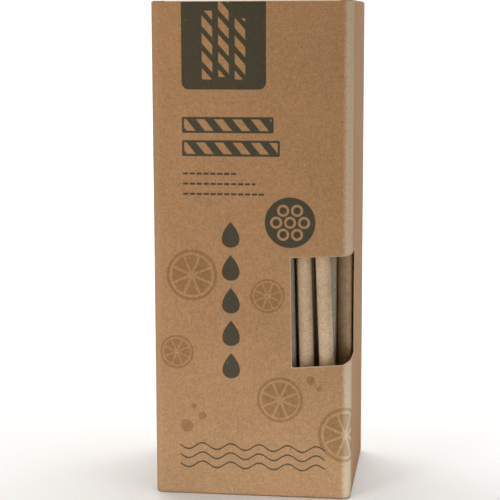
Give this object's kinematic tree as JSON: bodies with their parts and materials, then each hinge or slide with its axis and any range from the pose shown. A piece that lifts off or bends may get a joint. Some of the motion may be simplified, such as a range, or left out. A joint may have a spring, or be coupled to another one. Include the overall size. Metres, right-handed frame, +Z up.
{
  "type": "carton of paper drinking straws",
  "caption": "Tall kraft carton of paper drinking straws, with a hinged tuck-in lid and a die-cut window that wraps round its right-hand front crease.",
  "frame": {"origin": "centre of the foot, on the surface that the carton stands on", "axes": "+Z up along the straws, -Y towards the printed front, +X towards the windowed side"},
  "size_m": [0.081, 0.0734, 0.202],
  "materials": {
    "kraft_board": "uncoated kraft folding board, matt, with fine fibre flecks and dark olive print on the front",
    "kraft_lid": "uncoated kraft folding board, matt, unprinted",
    "straw_paper": "spirally wound kraft paper, matt, with a fine spiral seam"
  },
  "bodies": {
    "carton": {"carton": "kraft_board", "front_straw_1": "straw_paper", "front_straw_2": "straw_paper", "front_straw_3": "straw_paper", "front_straw_4": "straw_paper", "front_straw_5": "straw_paper", "front_straw_6": "straw_paper", "front_straw_7": "straw_paper", "front_straw_8": "straw_paper", "front_straw_9": "straw_paper", "second_straw_1": "straw_paper", "second_straw_2": "straw_paper", "second_straw_3": "straw_paper", "second_straw_4": "straw_paper", "second_straw_5": "straw_paper", "second_straw_6": "straw_paper", "second_straw_7": "straw_paper", "second_straw_8": "straw_paper", "second_straw_9": "straw_paper", "straw_row_1": "straw_paper", "straw_row_2": "straw_paper", "straw_row_3": "straw_paper", "straw_row_4": "straw_paper", "straw_row_5": "straw_paper", "straw_row_6": "straw_paper", "straw_row_7": "straw_paper", "straw_row_8": "straw_paper", "straw_row_9": "straw_paper", "straw_row_10": "straw_paper", "straw_row_11": "straw_paper"},
    "lid": {"lid": "kraft_lid"},
    "tuck_flap": {"tuck_flap": "kraft_lid"}
  },
  "joints": [
    {"name": "lid_hinge", "type": "hinge", "parent": "carton", "child": "lid", "pos_m": [0, 0.03675, 0.20155], "axis": [-1, 0, 0], "range_deg": [0, 180]},
    {"name": "tuck_crease", "type": "hinge", "parent": "lid", "child": "tuck_flap", "pos_m": [0, -0.03575, 0.2011], "axis": [1, 0, 0], "range_deg": [0, 36]}
  ],
  "couplings": [
    {"joint": "tuck_crease", "follows": "lid_hinge", "ratio": 0.2}
  ]
}
